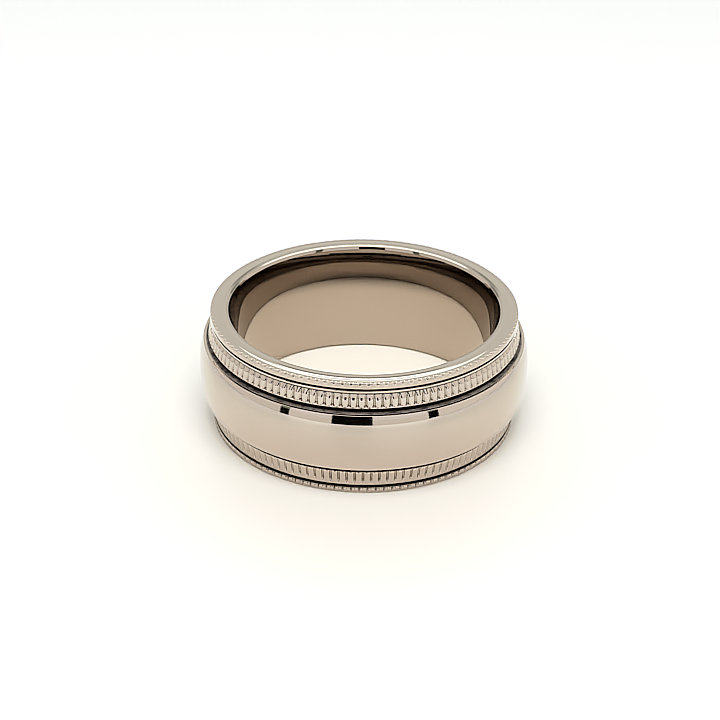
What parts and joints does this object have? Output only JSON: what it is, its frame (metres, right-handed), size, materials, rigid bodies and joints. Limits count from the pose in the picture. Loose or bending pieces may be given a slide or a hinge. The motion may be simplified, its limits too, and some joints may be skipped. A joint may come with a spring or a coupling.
{
  "type": "milgrain band ring",
  "caption": "One-piece comfort-fit finger ring with a domed middle band, a grooved coin-edge rib on each side and beaded outer edges.",
  "frame": {"origin": "centre of the finger hole, in the plane of the flat face that the band lies on", "axes": "+Z along the finger hole, away from the face it lies on; X and Y across the hole, all directions alike"},
  "size_m": [0.0218, 0.0218, 0.008],
  "materials": {
    "titanium": "polished"
  },
  "bodies": {
    "root": {"band": "titanium"}
  },
  "joints": []
}
